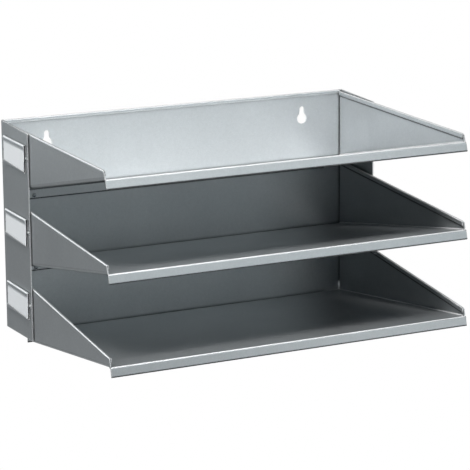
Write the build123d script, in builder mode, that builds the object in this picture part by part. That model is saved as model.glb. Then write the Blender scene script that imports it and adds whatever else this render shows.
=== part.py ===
from build123d import *
from math import asin, atan2, cos, degrees, radians, sin, tan
import os

# Three-tier desktop file sorter, folded from sheet steel and hung on two keyholes.
# Millimetres. +X is the sorter's right, -Y its front and +Z up. The origin is midway between
# the round ends of the keyholes, on the rear face of the back panel.

SHEET = 1.0                   # steel sheet of the frame and the trays

# Frame: a back panel with a side return at each end
FRAME_WIDTH = 333.0
RETURN_DEPTH = 58.3
FRAME_BELOW = 157.2           # keyhole line down to the returns' lower edges
FRAME_ABOVE = 23.3            # keyhole line up to the top of the back panel
RETURN_DROP = 3.4             # fall of a return's top edge from back to front
FRAME_BEND = 1.5
PANEL_HEM = 3.0               # height of the fold along the panel's top edge
TONGUE_DROP = 17.5            # how far the panel reaches below the returns
TONGUE_WIDTH = 276.0          # its width at the lower edge
TONGUE_SHOULDER = 9.0         # how far its right side runs straight down, behind the bottom tray

# Keyholes
KEYHOLE_SPACING = 250.0
KEYHOLE_RADIUS = 4.8
KEYHOLE_SLOT = 4.6            # width of the narrow end
KEYHOLE_RISE = 10.8           # keyhole line up to the top of the slot
KEYHOLE_NECK = 37.5           # degrees from upright where the circle gives way to the neck
KEYHOLE_NECK_TOP = 6.2

# Trays: three alike, fanned by their mounting heights
TRAY_WIDTH = 330.0
FLOOR_LENGTH = 215.0          # rear edge to the lip's bend, along the floor
REAR_HEIGHT = 119.6           # floor of the top tray at the panel, above the returns' lower edges
REAR_PITCH = 63.3
FRONT_HEIGHT = 165.3          # its lip bend, above the same edges
FRONT_PITCH = 74.7
LIP_DEPTH = 8.4
LIP_SPREAD = 0.8              # how far the lip's lower edge stands ahead of its bend
LIP_BEND = 1.6
CORNER_BEND = 2.5             # floor to side wall, outside radius
CORNER_NOTCH = 2.6            # open length between a side wall's bend and the lip
WALL_FRONT_HEIGHT = 6.95      # side wall's front corner above the floor
WALL_FRONT_SETBACK = 1.9      # and behind the lip's bend
WALL_SLOPE = 14.4             # degrees that its top edge falls, measured from the floor
WALL_REAR_GAP = 1.5           # slit between a side wall and the back panel
FLOOR_REAR_GAP = 1.2
HEM_RADIUS = 1.15             # outside radius of a folded edge
HEM_DEPTH = 4.5
FLANGE_WIDTH = 296.0          # rear flange that lies on the back panel
FLANGE_DEPTH = 10.0
FLANGE_BEND = 2.0
RELIEF_WIDTH = 12.5           # bottom tray's left rear corner, cut clear of the left return

# Rivets through each rear flange
RIVET_SPACING = 277.0
RIVET_DROP = 7.0              # below the floor's rear edge
RIVET_SHANK = 1.0
RIVET_HEAD = 1.7
RIVET_HEAD_HEIGHT = 0.8
RIVET_HEAD_ROUND = 0.7
RIVET_PLAY = 0.05

# Label holders on the left return
LABEL_SHEET = 0.4
LABEL_LENGTH = 45.0
LABEL_FRONT = 54.2            # front end of the rails, from the panel's rear face
LABEL_HEIGHT = 23.6
LABEL_CURL = 1.25             # outside radius of the rails
LABEL_RAIL = 2.3              # straight length of a rail's returned edge
LABEL_RAIL_TIP = 0.4          # what is left of it at the lower rail's front end
LABEL_TOP_HEIGHT = 156.3      # middle of the top holder, above the returns' lower edges
LABEL_PITCH = 63.0
LABEL_TILT = 2.0              # degrees that the rails fall towards the front
LUG_RADIUS = 1.9
LUG_REACH = 1.8               # rivet centre beyond the rails' end
PIN_SHANK = 0.9
PIN_HEAD = 1.4
PIN_HEAD_HEIGHT = 0.7
PIN_HEAD_ROUND = 0.5

# Label cards
CARD_LENGTH = 44.0
CARD_HEIGHT = 21.8
CARD_THICK = 0.5
CARD_STANDOFF = 1.0           # face of the holder's plate to the back of the card
CARD_CORNER = 0.6

TIERS = ("top", "middle", "bottom")

half_frame = FRAME_WIDTH / 2
half_tray = TRAY_WIDTH / 2
returns_foot = -FRAME_BELOW

os.makedirs("parts", exist_ok=True)


def save(builder, name):
    """Label a finished piece and write it."""
    builder.part.label = name
    export_step(builder.part, f"parts/{name}.step")


def folded_edge(radius, sheet, root, leg):
    """Outline of a sheet edge folded through 180 degrees, about its own outer face.

    x runs from the outer face towards the fold, y towards the free edge. The straight root
    reaches down by root, and the returned leg by leg, from the level where the fold starts.
    """
    inner = radius - sheet
    outer_face = Line((0, -root), (0, 0))
    outer_arc = ThreePointArc(outer_face @ 1, (radius, radius), (2 * radius, 0))
    leg_face = Line(outer_arc @ 1, (2 * radius, -leg))
    leg_end = Line(leg_face @ 1, (2 * radius - sheet, -leg))
    leg_back = Line(leg_end @ 1, (2 * radius - sheet, 0))
    inner_arc = ThreePointArc(leg_back @ 1, (radius, inner), (sheet, 0))
    inner_face = Line(inner_arc @ 1, (sheet, -root))
    Line(inner_face @ 1, outer_face @ 0)


# Keyhole: round entry below, narrow slot above, with a tapering neck between
neck = radians(KEYHOLE_NECK)
slot_side = KEYHOLE_SLOT / 2
with BuildSketch() as keyhole:
    Circle(KEYHOLE_RADIUS)
    with BuildLine():
        Polyline(
            (KEYHOLE_RADIUS * sin(neck), KEYHOLE_RADIUS * cos(neck)),
            (slot_side, KEYHOLE_NECK_TOP),
            (slot_side, KEYHOLE_RISE - slot_side),
            (-slot_side, KEYHOLE_RISE - slot_side),
            (-slot_side, KEYHOLE_NECK_TOP),
            (-KEYHOLE_RADIUS * sin(neck), KEYHOLE_RADIUS * cos(neck)),
            close=True,
        )
    make_face()
    with Locations((0, KEYHOLE_RISE - slot_side)):
        Circle(slot_side)


class Tray:
    """Placing of one tray: u runs forward along its floor and v up from it."""

    def __init__(self, tier):
        self.rear = returns_foot + REAR_HEIGHT - tier * REAR_PITCH
        front = returns_foot + FRONT_HEIGHT - tier * FRONT_PITCH
        self.tilt = asin((front - self.rear) / FLOOR_LENGTH)
        origin = (0, -SHEET, self.rear)
        forward = (0, -cos(self.tilt), sin(self.tilt))
        self.side_plane = Plane(origin, x_dir=forward, z_dir=(-1, 0, 0))
        self.cross_plane = Plane(origin, x_dir=(1, 0, 0), z_dir=forward)

    def upright(self, v):
        """u of the side wall's upright rear edge, at v."""
        return (WALL_REAR_GAP + v * sin(self.tilt)) / cos(self.tilt)

    def wall_top_rear(self):
        """Rear end of the side wall's top line."""
        slope = tan(radians(WALL_SLOPE))
        level = WALL_FRONT_HEIGHT + (FLOOR_LENGTH - WALL_FRONT_SETBACK) * slope
        u = (WALL_REAR_GAP + level * sin(self.tilt)) / (cos(self.tilt) + slope * sin(self.tilt))
        return u, level - u * slope

    def rivet_height(self):
        return self.rear - RIVET_DROP


def lip_end():
    """Lower edge of the lip, on its outer face."""
    lean = atan2(LIP_DEPTH, LIP_SPREAD)
    return FLOOR_LENGTH + LIP_DEPTH * cos(lean), -LIP_DEPTH * sin(lean)


def bent_strip(points, radii):
    """Section of a bent strip of sheet, drawn along its upper surface."""
    surface = FilletPolyline(*points, radius=radii)
    offset(surface, amount=SHEET, side=Side.RIGHT)


trays = [Tray(tier) for tier in range(len(TIERS))]
pin_spacing = LABEL_LENGTH + 2 * LUG_REACH


def label_plane(tier):
    """Middle of a label holder on the return's outer face: x along its rails, y up, z outwards."""
    height = returns_foot + LABEL_TOP_HEIGHT - tier * LABEL_PITCH
    tilt = radians(LABEL_TILT)
    return Plane(
        (-half_frame, LABEL_LENGTH / 2 - LABEL_FRONT, height),
        x_dir=(0, -cos(tilt), -sin(tilt)),
        z_dir=(-1, 0, 0),
    )


label_planes = [label_plane(tier) for tier in range(len(TIERS))]

# Frame
with BuildPart() as rear_frame:
    with BuildSketch(Plane.XY.offset(returns_foot)):
        with BuildLine():
            outside = FilletPolyline(
                (-half_frame, -RETURN_DEPTH),
                (-half_frame, 0),
                (half_frame, 0),
                (half_frame, -RETURN_DEPTH),
                radius=FRAME_BEND,
            )
            offset(outside, amount=SHEET, side=Side.RIGHT)
        make_face()
    extrude(amount=FRAME_BELOW + FRAME_ABOVE)

    # Sloping top edges of the returns
    with BuildSketch(Plane.YZ):
        with BuildLine():
            Polyline(
                (-SHEET, FRAME_ABOVE),
                (-RETURN_DEPTH - SHEET, FRAME_ABOVE - RETURN_DROP),
                (-RETURN_DEPTH - SHEET, FRAME_ABOVE + SHEET),
                (-SHEET, FRAME_ABOVE + SHEET),
                close=True,
            )
        make_face()
    extrude(amount=half_frame + SHEET, both=True, mode=Mode.SUBTRACT)

    # Fold along the panel's top edge
    hem_width = FRAME_WIDTH - 2 * FRAME_BEND - 2 * SHEET
    with BuildSketch(Plane.XZ):
        with Locations((0, FRAME_ABOVE)):
            Rectangle(hem_width, 2 * HEM_RADIUS)
    extrude(amount=SHEET, mode=Mode.SUBTRACT)
    fold_plane = Plane(
        (hem_width / 2, 0, FRAME_ABOVE - HEM_RADIUS), x_dir=(0, -1, 0), z_dir=(-1, 0, 0)
    )
    with BuildSketch(fold_plane):
        with BuildLine():
            folded_edge(HEM_RADIUS, SHEET, SHEET, PANEL_HEM - HEM_RADIUS)
        make_face()
    extrude(amount=hem_width)

    # Lower tongue of the panel
    with BuildSketch(Plane.XZ):
        with BuildLine():
            Polyline(
                (-half_frame + FRAME_BEND, returns_foot + SHEET),
                (half_frame - FRAME_BEND, returns_foot + SHEET),
                (half_frame - FRAME_BEND, returns_foot),
                (half_frame, returns_foot),
                (half_frame, returns_foot - TONGUE_SHOULDER),
                (TONGUE_WIDTH / 2, returns_foot - TONGUE_DROP),
                (-TONGUE_WIDTH / 2, returns_foot - TONGUE_DROP),
                (-half_frame + FRAME_BEND, returns_foot),
                close=True,
            )
        make_face()
    extrude(amount=SHEET)

    # Keyholes and tray rivet holes
    with BuildSketch(Plane.XZ):
        with GridLocations(KEYHOLE_SPACING, 1, 2, 1):
            add(keyhole.sketch)
        for tray in trays:
            with Locations((0, tray.rivet_height())):
                with GridLocations(RIVET_SPACING, 1, 2, 1):
                    Circle(RIVET_SHANK + RIVET_PLAY)
    extrude(amount=SHEET, mode=Mode.SUBTRACT)

    # Label rivet holes in the left return
    for holder_plane in label_planes:
        with BuildSketch(holder_plane):
            with GridLocations(pin_spacing, 1, 2, 1):
                Circle(PIN_SHANK + RIVET_PLAY)
        extrude(amount=-SHEET, mode=Mode.SUBTRACT)
save(rear_frame, "rear_frame")


def make_tray(tier, name):
    """Floor, lip and rear flange, with a hemmed wall at each side."""
    place = trays[tier]
    rear_bend = (0, 0)
    front_bend = (FLOOR_LENGTH, 0)
    flange_foot = (-FLANGE_DEPTH * sin(place.tilt), -FLANGE_DEPTH * cos(place.tilt))
    channel_start = FLOOR_REAR_GAP
    channel_end = FLOOR_LENGTH - CORNER_NOTCH
    top_u, top_v = place.wall_top_rear()
    nose_u = FLOOR_LENGTH - WALL_FRONT_SETBACK
    wall_foot = CORNER_BEND - SHEET

    with BuildPart() as tray:
        # Floor, with its lip and flange
        with BuildSketch(place.side_plane):
            with BuildLine():
                bent_strip((flange_foot, rear_bend, front_bend, lip_end()), (FLANGE_BEND, LIP_BEND))
            make_face()
        extrude(amount=FLANGE_WIDTH / 2, both=True)
        with BuildSketch(place.side_plane):
            with BuildLine():
                bent_strip(((channel_end, 0), front_bend, lip_end()), LIP_BEND)
            make_face()
        extrude(amount=half_tray, both=True)

        # Bends up to the side walls
        start = place.cross_plane.offset(channel_start)
        with BuildSketch(start):
            with BuildLine():
                underside = FilletPolyline(
                    (-half_tray, CORNER_BEND),
                    (-half_tray, -SHEET),
                    (half_tray, -SHEET),
                    (half_tray, CORNER_BEND),
                    radius=CORNER_BEND,
                )
                offset(underside, amount=SHEET, side=Side.LEFT)
            make_face()
        extrude(amount=channel_end - channel_start)

        # Left side wall
        with BuildSketch(place.side_plane.offset(half_tray)):
            with BuildLine():
                Polyline(
                    (place.upright(wall_foot), wall_foot),
                    (place.upright(top_v - HEM_RADIUS), top_v - HEM_RADIUS),
                    (nose_u, WALL_FRONT_HEIGHT - HEM_RADIUS),
                    (FLOOR_LENGTH - LIP_BEND / 2, -SHEET / 2),
                    (channel_end, -SHEET / 2),
                    (channel_end, wall_foot),
                    close=True,
                )
            make_face()
        extrude(amount=-SHEET)

        # Hem along its top edge
        hem_start = place.side_plane.from_local_coords((top_u, top_v, half_tray))
        hem_end = place.side_plane.from_local_coords((nose_u, WALL_FRONT_HEIGHT, half_tray))
        hem_run = hem_end - hem_start
        hem_plane = Plane(
            hem_start - Vector(0, 0, HEM_RADIUS), x_dir=(1, 0, 0), z_dir=(0, -1, 0)
        )
        with BuildSketch(hem_plane):
            with BuildLine():
                folded_edge(HEM_RADIUS, SHEET, SHEET, HEM_DEPTH - HEM_RADIUS)
            make_face()
        extrude(amount=hem_run.length, dir=hem_run.normalized())
        mirror(about=Plane.YZ)

        # Rivet holes
        with BuildSketch(Plane.XZ.offset(SHEET)):
            with Locations((0, place.rivet_height())):
                with GridLocations(RIVET_SPACING, 1, 2, 1):
                    Circle(RIVET_SHANK + RIVET_PLAY)
        extrude(amount=SHEET + RIVET_PLAY, mode=Mode.SUBTRACT)

        # Left corner that would hang below its return
        if place.rear < returns_foot:
            with BuildSketch(Plane.XY.offset(returns_foot)):
                with BuildLine():
                    Polyline(
                        (-half_tray - SHEET, 0),
                        (-half_tray + RELIEF_WIDTH, 0),
                        (-half_tray, -RETURN_DEPTH),
                        (-half_tray - SHEET, -RETURN_DEPTH),
                        close=True,
                    )
                make_face()
            extrude(amount=-TONGUE_DROP, mode=Mode.SUBTRACT)
    save(tray, name)


def make_tray_rivets(place, name):
    """Two round-headed rivets, flush behind the back panel."""
    with BuildPart() as rivets:
        with BuildSketch(Plane.XZ):
            with Locations((0, place.rivet_height())):
                with GridLocations(RIVET_SPACING, 1, 2, 1):
                    Circle(RIVET_SHANK)
        extrude(amount=2 * SHEET)
        with BuildSketch(Plane.XZ.offset(2 * SHEET)):
            with Locations((0, place.rivet_height())):
                with GridLocations(RIVET_SPACING, 1, 2, 1):
                    Circle(RIVET_HEAD)
        extrude(amount=RIVET_HEAD_HEIGHT)
        fillet(rivets.edges().filter_by(GeomType.CIRCLE).group_by(Axis.Y)[0], RIVET_HEAD_ROUND)
    save(rivets, name)


def make_label_holder(place, name):
    """Plate with a curled rail above and below, and a riveted lug at each end."""
    curl_level = LABEL_HEIGHT / 2 - LABEL_CURL
    outside = LABEL_CURL + LABEL_SHEET
    with BuildPart() as holder:
        with BuildSketch(place):
            Rectangle(LABEL_LENGTH, 2 * curl_level)
        extrude(amount=LABEL_SHEET)
        rail = Plane(
            place.from_local_coords((LABEL_LENGTH / 2, curl_level, 0)),
            x_dir=place.z_dir,
            z_dir=-place.x_dir,
        )
        with BuildSketch(rail):
            with BuildLine():
                folded_edge(LABEL_CURL, LABEL_SHEET, LABEL_SHEET, LABEL_RAIL)
            make_face()
        extrude(amount=LABEL_LENGTH)
        mirror(about=Plane(place.origin, z_dir=place.y_dir))

        # The lower rail's returned edge narrows towards the front, where cards go in
        with BuildSketch(place.offset(LABEL_CURL)):
            with BuildLine():
                Polyline(
                    (-LABEL_LENGTH / 2, LABEL_RAIL - curl_level),
                    (LABEL_LENGTH / 2, LABEL_RAIL_TIP - curl_level),
                    (LABEL_LENGTH / 2 + LABEL_SHEET, LABEL_RAIL_TIP - curl_level),
                    (LABEL_LENGTH / 2 + LABEL_SHEET, LABEL_RAIL - curl_level),
                    close=True,
                )
            make_face()
        extrude(amount=outside, mode=Mode.SUBTRACT)

        with BuildSketch(place):
            SlotCenterToCenter(pin_spacing, 2 * LUG_RADIUS)
        extrude(amount=LABEL_SHEET)
        with BuildSketch(place):
            with GridLocations(pin_spacing, 1, 2, 1):
                Circle(PIN_SHANK + RIVET_PLAY)
        extrude(amount=LABEL_SHEET, mode=Mode.SUBTRACT)
    save(holder, name)


def make_label_rivets(place, name):
    """Two small rivets that hold a label holder to the return."""
    with BuildPart() as pins:
        with BuildSketch(place.offset(-SHEET)):
            with GridLocations(pin_spacing, 1, 2, 1):
                Circle(PIN_SHANK)
        extrude(amount=SHEET + LABEL_SHEET)
        with BuildSketch(place.offset(LABEL_SHEET)):
            with GridLocations(pin_spacing, 1, 2, 1):
                Circle(PIN_HEAD)
        extrude(amount=PIN_HEAD_HEIGHT)
        fillet(pins.edges().filter_by(GeomType.CIRCLE).group_by(Axis.X)[0], PIN_HEAD_ROUND)
    save(pins, name)


def make_label_card(place, name):
    """Card that slides between the rails."""
    with BuildPart() as card:
        with BuildSketch(place.offset(LABEL_SHEET + CARD_STANDOFF)):
            RectangleRounded(CARD_LENGTH, CARD_HEIGHT, CARD_CORNER)
        extrude(amount=CARD_THICK)
    save(card, name)


for tier, tier_name in enumerate(TIERS):
    make_tray(tier, f"tray_{tier_name}")
    make_tray_rivets(trays[tier], f"tray_rivets_{tier_name}")
    make_label_holder(label_planes[tier], f"label_holder_{tier_name}")
    make_label_rivets(label_planes[tier], f"label_rivets_{tier_name}")
    make_label_card(label_planes[tier], f"label_card_{tier_name}")

for tier, tier_name in enumerate(TIERS):
    print(f"{tier_name} tray tilts {degrees(trays[tier].tilt):.2f} degrees, rear {trays[tier].rear:.2f}")
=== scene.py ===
from math import cos, radians, sin

import bpy
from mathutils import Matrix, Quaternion, Vector


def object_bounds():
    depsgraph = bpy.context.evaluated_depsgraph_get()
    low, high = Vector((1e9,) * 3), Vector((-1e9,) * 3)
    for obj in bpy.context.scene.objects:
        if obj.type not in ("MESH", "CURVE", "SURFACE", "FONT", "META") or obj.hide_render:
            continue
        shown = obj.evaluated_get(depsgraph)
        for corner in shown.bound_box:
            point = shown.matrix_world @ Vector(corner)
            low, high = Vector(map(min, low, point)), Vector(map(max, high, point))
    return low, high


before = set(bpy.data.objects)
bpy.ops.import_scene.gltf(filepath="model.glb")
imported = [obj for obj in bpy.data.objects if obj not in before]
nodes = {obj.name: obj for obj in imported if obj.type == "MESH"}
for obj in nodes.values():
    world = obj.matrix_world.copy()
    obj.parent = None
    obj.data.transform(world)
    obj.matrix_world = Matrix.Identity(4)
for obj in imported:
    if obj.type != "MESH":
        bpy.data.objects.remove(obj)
cad_low, cad_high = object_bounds()
centre = (cad_low + cad_high) / 2

# Lengths are in metres and angles in degrees throughout.

# Camera
AZIMUTH = -27.35
ELEVATION = 12.6
ROLL = -0.43
DISTANCE = 1.943
LENS = 175.4                          # millimetres
AIM_RIGHT = 0.0015                    # aim point, from the middle of the sorter's box
AIM_UP = 0.0019
CLIP = (0.05, 200)

# Stage
FLOOR_DROP = 0.35                     # floor below the sorter
FLOOR_SIZE = 60.0
FLOOR_TONE = (0.32, 0.325, 0.33)
FLOOR_ROUGHNESS = 0.9
SKY_TONE = (0.25, 0.7, 1.0)           # faint cool fill in the shadows
SKY_STRENGTH = 0.022
WHITE = (1, 1, 1)
COOL = (0.93, 0.98, 1.0)
COOLER = (0.9, 0.98, 1.0)
COOLEST = (0.85, 0.96, 1.0)

# Steel coat: tones, each as (light, dark)
FRAME_TONES = (0.605, 0.625, 0.635), (0.555, 0.575, 0.585)
TRAY_TONES = (0.61, 0.63, 0.64), (0.56, 0.58, 0.59)
HOLDER_TONES = (0.66, 0.685, 0.70), (0.60, 0.625, 0.64)
RIVET_TONES = (0.48, 0.52, 0.54), (0.38, 0.42, 0.44)
MOTTLE_TONE = (0.25, 0.27, 0.28)
SPECKLE_TONE = (0.95, 0.97, 1.0)
# edge wear and the painted highlight on the tops of folded edges
WEAR_AND_HIGHLIGHT_TONE = (1.0, 1.0, 1.0)

# Steel coat: gloss
COAT_WEIGHT = 0.5
COAT_ROUGHNESS = 0.22
METALLIC = 0.88
HOLDER_METALLIC = 0.85
WEAR_AND_HIGHLIGHT_METALLIC = 0.1                 # on edge wear and the painted crest highlights: an edge with wear scatters light more than it mirrors it
GLOSS = (0.39, 0.43)                  # range of the roughness

# Steel coat: sizes of its marks
GRAIN_SIZE = 0.0009
GRAIN_DEPTH = 0.000012
MOTTLE_SIZE = 0.0024
PATCH_SIZE = 0.012
SMEAR_SIZE = 0.03
CLOUD_SIZE = 0.09
EDGE_SOFTNESS = 0.0005
RUB_RADIUS = 0.0012
UNDERSIDE_SHADE_RADIUS = 0.002

# Steel coat: strengths of its marks
SPOTS = 0.12                          # share of the mottle and of the speckles
LEAST_WEAR_AND_HIGHLIGHT = 0.75
# painted shade on bends that face the front
BEND_SHADE = 0.62
STEEL_GAP_SHADE = (0.003, 0.5)                   # reach of the painted shade in folds and gaps, and its darkest value
HOLDER_GAP_SHADE = (0.0015, 0.1)
LOWER_EDGE_SHADE = 0.96                         # painted shade: how dark the trays' lower edges get

# Ranges of the cosines and normals that pick out edges
RUB_RANGE = (0.75, 0.99)
UNDERSIDE_SHADE_RANGE = (0.03, 0.2)
OPEN_RANGE = (0.3, 0.92)
RISING_RANGE = (0.36, 0.50)
LEVEL_RANGE = (0.91, 0.96)
FRONT_RANGE = (-0.62, -0.5)

# Label paper
PAPER_TONES = (0.95, 0.97, 0.98), (0.98, 0.99, 1.0)
FIBRE_TONE = (0.90, 0.92, 0.94)
FIBRE_SHARE = 0.3
FIBRE_SIZE = 0.0006
FIBRE_DEPTH = 0.00003
PAPER_CLOUD_SIZE = 0.015
PAPER_ROUGHNESS = (0.55, 0.75)


def link(thing):
    bpy.context.scene.collection.objects.link(thing)
    return thing


def add_camera():
    """A long lens at the sorter's left, a little above it."""
    azimuth, elevation = radians(AZIMUTH), radians(ELEVATION)
    back = Vector(
        (sin(azimuth) * cos(elevation), -cos(azimuth) * cos(elevation), sin(elevation))
    )
    right = (-back).cross(Vector((0, 0, 1))).normalized()
    up = right.cross(-back)
    data = bpy.data.cameras.new("camera")
    data.lens = LENS
    data.clip_start, data.clip_end = CLIP
    camera = link(bpy.data.objects.new("camera", data))
    camera.location = centre + right * AIM_RIGHT + up * AIM_UP + back * DISTANCE
    camera.rotation_mode = "QUATERNION"
    level = (-back).to_track_quat("-Z", "Y")
    camera.rotation_quaternion = Quaternion(back, radians(ROLL)) @ level
    bpy.context.scene.camera = camera


def add_light(name, place, size, power, colour=WHITE):
    """A softbox at a place counted from the sorter's middle, turned towards it."""
    data = bpy.data.lights.new(name, "AREA")
    data.shape = "RECTANGLE"
    data.size, data.size_y = size
    data.energy = power
    data.color = colour
    lamp = link(bpy.data.objects.new(name, data))
    lamp.location = centre + Vector(place)
    lamp.visible_camera = False
    lamp.rotation_mode = "QUATERNION"
    lamp.rotation_quaternion = (-Vector(place)).to_track_quat("-Z", "Y")


def switch(tree, amount, one, other):
    """Mixes two shaders into the tree's output."""
    mix = tree.nodes.new("ShaderNodeMixShader")
    outputs = ("OUTPUT_MATERIAL", "OUTPUT_WORLD")
    target = next(node for node in tree.nodes if node.type in outputs)
    for source, socket in zip((amount, one, other), mix.inputs):
        tree.links.new(source, socket)
    tree.links.new(mix.outputs[0], target.inputs["Surface"])
    return mix.outputs[0]


def white_to_the_lens(tree, shader, kind):
    """Shows plain white to the camera, and lights the object by the other shader."""
    white = tree.nodes.new(kind)
    white.inputs["Color"].default_value = (*WHITE, 1)
    white.inputs["Strength"].default_value = 1.0
    ray = tree.nodes.new("ShaderNodeLightPath")
    return switch(tree, ray.outputs["Is Camera Ray"], shader, white.outputs[0])


def clear_from_below(tree, shader):
    """Leaves the floor out of views from under it."""
    side = tree.nodes.new("ShaderNodeNewGeometry")
    clear = tree.nodes.new("ShaderNodeBsdfTransparent")
    switch(tree, side.outputs["Backfacing"], shader, clear.outputs[0])


def add_world():
    scene = bpy.context.scene
    scene.view_settings.view_transform = "Standard"
    world = bpy.data.worlds.new("studio")
    scene.world = world
    world.use_nodes = True
    sky = world.node_tree.nodes["Background"]
    sky.inputs["Color"].default_value = (*SKY_TONE, 1)
    sky.inputs["Strength"].default_value = SKY_STRENGTH
    white_to_the_lens(world.node_tree, sky.outputs[0], "ShaderNodeBackground")


def add_floor():
    """Plain pale floor, far enough below to catch no shadow that shows."""
    data = bpy.data.meshes.new("floor")
    half = FLOOR_SIZE / 2
    corners = [(-half, -half, 0), (half, -half, 0), (half, half, 0), (-half, half, 0)]
    data.from_pydata(corners, [], [(0, 1, 2, 3)])
    floor = link(bpy.data.objects.new("floor", data))
    floor.location = (centre.x, centre.y, cad_low.z - FLOOR_DROP)
    pale = bpy.data.materials.new("pale_floor")
    pale.use_nodes = True
    tree = pale.node_tree
    surface = tree.nodes["Principled BSDF"]
    surface.inputs["Base Color"].default_value = (*FLOOR_TONE, 1)
    surface.inputs["Roughness"].default_value = FLOOR_ROUGHNESS
    above = white_to_the_lens(tree, surface.outputs[0], "ShaderNodeEmission")
    clear_from_below(tree, above)
    data.materials.append(pale)


def add_lights():
    """Two key softboxes above the front, three weak fills and one behind the left side."""
    add_light("key_softbox_left", (-1.0, -0.9, 1.8), (0.9, 0.7), 52)
    add_light("key_softbox_right", (0.7, -0.9, 1.8), (0.9, 0.7), 27)
    add_light("front_softbox", (0.7, -2.2, 1.1), (1.6, 0.8), 5.1, COOLER)
    add_light("low_front", (1.3, -2.2, 0.4), (0.8, 0.6), 1.8, COOLEST)
    add_light("low_right", (1.3, -1.6, -0.32), (0.9, 0.6), 2.6)
    add_light("behind_left", (-0.9, 0.9, 0.35), (0.7, 0.7), 4.1, COOL)


class Paint:
    """Builds one node material, with its coordinates taken on the object in metres."""

    def __init__(self, name):
        self.material = bpy.data.materials.new(name)
        self.material.use_nodes = True
        self.tree = self.material.node_tree
        self.shader = self.tree.nodes["Principled BSDF"]
        self.where = self.node("ShaderNodeTexCoord").outputs["Object"]

    def node(self, kind, **settings):
        made = self.tree.nodes.new(kind)
        for name, value in settings.items():
            setattr(made, name, value)
        return made

    def wire(self, source, target):
        self.tree.links.new(source, target)

    def finish(self, source, name):
        """Leads a value into one of the shader's sockets."""
        self.wire(source, self.shader.inputs[name])

    def noise(self, size, detail=2.0, roughness=0.5, stretch=None):
        """Noise with features of about that size."""
        made = self.node("ShaderNodeTexNoise")
        made.inputs["Scale"].default_value = 1 / size
        made.inputs["Detail"].default_value = detail
        made.inputs["Roughness"].default_value = roughness
        where = self.where
        if stretch:
            scaled = self.node("ShaderNodeMapping")
            scaled.inputs["Scale"].default_value = stretch
            self.wire(where, scaled.inputs["Vector"])
            where = scaled.outputs[0]
        self.wire(where, made.inputs["Vector"])
        return made.outputs["Fac"]

    def spread(self, value, low, high, start=0.3, end=0.7):
        """Stretches a value to run between two others."""
        made = self.node("ShaderNodeMapRange")
        made.inputs["From Min"].default_value = start
        made.inputs["From Max"].default_value = end
        made.inputs["To Min"].default_value = low
        made.inputs["To Max"].default_value = high
        self.wire(value, made.inputs["Value"])
        return made.outputs["Result"]

    def blend(self, amount, one, other):
        """Mixes two colours."""
        made = self.node("ShaderNodeMix", data_type="RGBA")
        self.wire(amount, made.inputs[0])
        for socket, colour in ((made.inputs[6], one), (made.inputs[7], other)):
            if isinstance(colour, tuple):
                socket.default_value = (*colour, 1)
            else:
                self.wire(colour, socket)
        return made.outputs[2]

    def shade(self, colour, amount):
        """Darkens a colour by a value."""
        made = self.node("ShaderNodeMix", data_type="RGBA", blend_type="MULTIPLY")
        made.inputs[0].default_value = 1.0
        self.wire(colour, made.inputs[6])
        self.wire(amount, made.inputs[7])
        return made.outputs[2]

    def combine(self, one, operation, other):
        """Plain arithmetic on two values."""
        made = self.node("ShaderNodeMath", operation=operation)
        self.wire(one, made.inputs[0])
        self.wire(other, made.inputs[1])
        return made.outputs[0]

    def part(self, vector, axis):
        """One part of a vector."""
        parts = self.node("ShaderNodeSeparateXYZ")
        self.wire(vector, parts.inputs[0])
        return parts.outputs[axis]

    def rounded(self, radius, samples):
        """The normal that the face would have with its edges rounded."""
        made = self.node("ShaderNodeBevel", samples=samples)
        made.inputs["Radius"].default_value = radius
        return made.outputs[0]

    def against_rounded(self, radius, operation):
        """Compares the face's own normal with its rounded one."""
        own = self.node("ShaderNodeNewGeometry").outputs["Normal"]
        made = self.node("ShaderNodeVectorMath", operation=operation)
        self.wire(own, made.inputs[0])
        self.wire(self.rounded(radius, samples=8), made.inputs[1])
        return made

    def edges(self, radius):
        """Runs from 0 on open faces to 1 at sharp edges and tight bends."""
        agreement = self.against_rounded(radius, "DOT_PRODUCT").outputs["Value"]
        return self.spread(agreement, 1.0, 0.0, *RUB_RANGE)

    def undersides(self, radius):
        """Runs from 0 to 1 where an edge turns down under its sheet."""
        turn = self.against_rounded(radius, "SUBTRACT").outputs[0]
        return self.spread(self.part(turn, "Z"), 0.0, 1.0, *UNDERSIDE_SHADE_RANGE)

    def crests(self):
        """Two values: 1 on the tops of folded edges, and 1 on bends that face the front."""
        normal = self.node("ShaderNodeNewGeometry").outputs["Normal"]
        rise = self.part(normal, "Z")
        raised = self.spread(rise, 0.0, 1.0, *RISING_RANGE)
        tilted = self.spread(rise, 1.0, 0.0, *LEVEL_RANGE)
        sloping = self.combine(raised, "MULTIPLY", tilted)
        ahead = self.spread(self.part(normal, "Y"), 1.0, 0.0, *FRONT_RANGE)
        frontal = self.combine(sloping, "MULTIPLY", ahead)
        return self.combine(sloping, "SUBTRACT", frontal), frontal

    def crevice_shade(self, reach, darkest):
        """Painted shade: runs from darkest deep in folds and gaps up to 1 in the open."""
        made = self.node("ShaderNodeAmbientOcclusion", samples=8)
        made.inputs["Distance"].default_value = reach
        return self.spread(made.outputs["AO"], darkest, 1.0, *OPEN_RANGE)

    def bump(self, height, depth, soften=None):
        """Raises the surface by a height map, over edges rounded by soften."""
        made = self.node("ShaderNodeBump")
        made.inputs["Distance"].default_value = depth
        self.wire(height, made.inputs["Height"])
        if soften:
            self.wire(self.rounded(soften, samples=6), made.inputs["Normal"])
        self.finish(made.outputs[0], "Normal")


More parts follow.
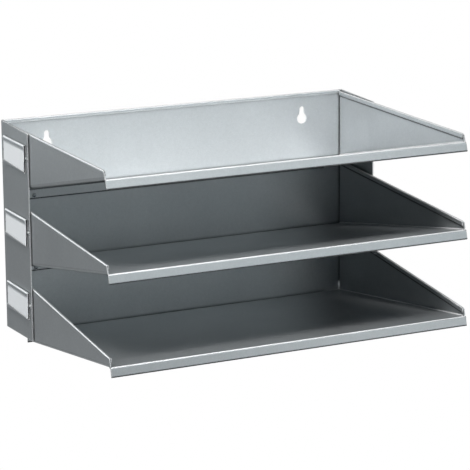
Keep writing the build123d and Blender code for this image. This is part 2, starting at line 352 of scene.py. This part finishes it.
def coated_steel(name, tones, metallic=METALLIC, gap_shade=STEEL_GAP_SHADE, under_edge_shade=LOWER_EDGE_SHADE):
    """Satin metallic coat: fine grain, faint clouding, edges and tight bends brightened by wear,
    painted highlights on the tops of folded edges, and painted shade on bends that face the front,
    in folds and gaps and under lower edges.
    """
    paint = Paint(name)
    paint.shader.inputs["Coat Weight"].default_value = COAT_WEIGHT
    paint.shader.inputs["Coat Roughness"].default_value = COAT_ROUGHNESS
    grain = paint.noise(GRAIN_SIZE, detail=2)
    light, dark = tones
    clouds = paint.spread(paint.noise(CLOUD_SIZE, detail=3), 0.0, 1.0)
    tone = paint.blend(clouds, dark, light)
    spots = paint.spread(paint.noise(MOTTLE_SIZE, detail=3, roughness=0.7), 0.0, SPOTS)
    mottle = paint.blend(spots, tone, MOTTLE_TONE)
    speckles = paint.spread(grain, 0.0, SPOTS, 0.45, 0.75)
    speckled = paint.blend(speckles, mottle, SPECKLE_TONE)

    # Edge wear, with a painted highlight on the tops of folded edges, lightens the coat and lowers
    # its metallic.
    patchy = paint.spread(paint.noise(PATCH_SIZE, detail=4), LEAST_WEAR_AND_HIGHLIGHT, 1.0)
    folds, bends = paint.crests()
    edge_wear_and_highlight = paint.combine(paint.edges(RUB_RADIUS), "MAXIMUM", folds)
    patchy_wear_and_highlight = paint.combine(edge_wear_and_highlight, "MULTIPLY", patchy)
    worn_and_highlit = paint.blend(patchy_wear_and_highlight, speckled, WEAR_AND_HIGHLIGHT_TONE)
    # Painted shade on bends that face the front.
    front_bends_shaded = paint.shade(worn_and_highlit, paint.spread(bends, 1.0, BEND_SHADE, 0.0, 1.0))
    # Painted shade in folds and gaps, from ambient occlusion.
    gaps_shaded = paint.shade(front_bends_shaded, paint.crevice_shade(*gap_shade))
    # Painted shade under lower edges.
    under = paint.spread(paint.undersides(UNDERSIDE_SHADE_RADIUS), 1.0, 1.0 - under_edge_shade, 0.0, 1.0)
    paint.finish(paint.shade(gaps_shaded, under), "Base Color")
    paint.finish(paint.spread(patchy_wear_and_highlight, metallic, WEAR_AND_HIGHLIGHT_METALLIC, 0.0, 1.0), "Metallic")
    smear = paint.noise(SMEAR_SIZE, detail=4, stretch=(1.0, 1.0, 0.4))
    paint.finish(paint.spread(smear, *GLOSS), "Roughness")
    paint.bump(grain, GRAIN_DEPTH, soften=EDGE_SOFTNESS)
    return paint.material


def label_paper():
    """Matt white card with faint fibres."""
    paint = Paint("label_paper")
    fibre = paint.noise(FIBRE_SIZE, detail=5, roughness=0.7, stretch=(1.0, 0.35, 1.0))
    cloud = paint.noise(PAPER_CLOUD_SIZE, detail=2)
    tone = paint.blend(paint.spread(cloud, 0.0, 1.0), *PAPER_TONES)
    fibres = paint.spread(fibre, 0.0, FIBRE_SHARE)
    paint.finish(paint.blend(fibres, tone, FIBRE_TONE), "Base Color")
    paint.finish(paint.spread(fibre, *PAPER_ROUGHNESS), "Roughness")
    paint.bump(fibre, FIBRE_DEPTH)
    return paint.material


def cover(stems, material):
    """Gives the nodes whose names start with one of the stems their material."""
    for name, node in nodes.items():
        if name.startswith(stems):
            node.data.materials.clear()
            node.data.materials.append(material)


add_camera()
add_world()
add_floor()
add_lights()
cover("rear_frame", coated_steel("frame_coat", FRAME_TONES, under_edge_shade=0.0))
cover(("tray_top", "tray_middle", "tray_bottom"), coated_steel("tray_coat", TRAY_TONES))
cover(("tray_rivets", "label_rivets"), coated_steel("rivet_coat", RIVET_TONES))
cover(
    "label_holder",
    coated_steel("holder_coat", HOLDER_TONES, HOLDER_METALLIC, HOLDER_GAP_SHADE, under_edge_shade=0.0),
)
cover("label_card", label_paper())
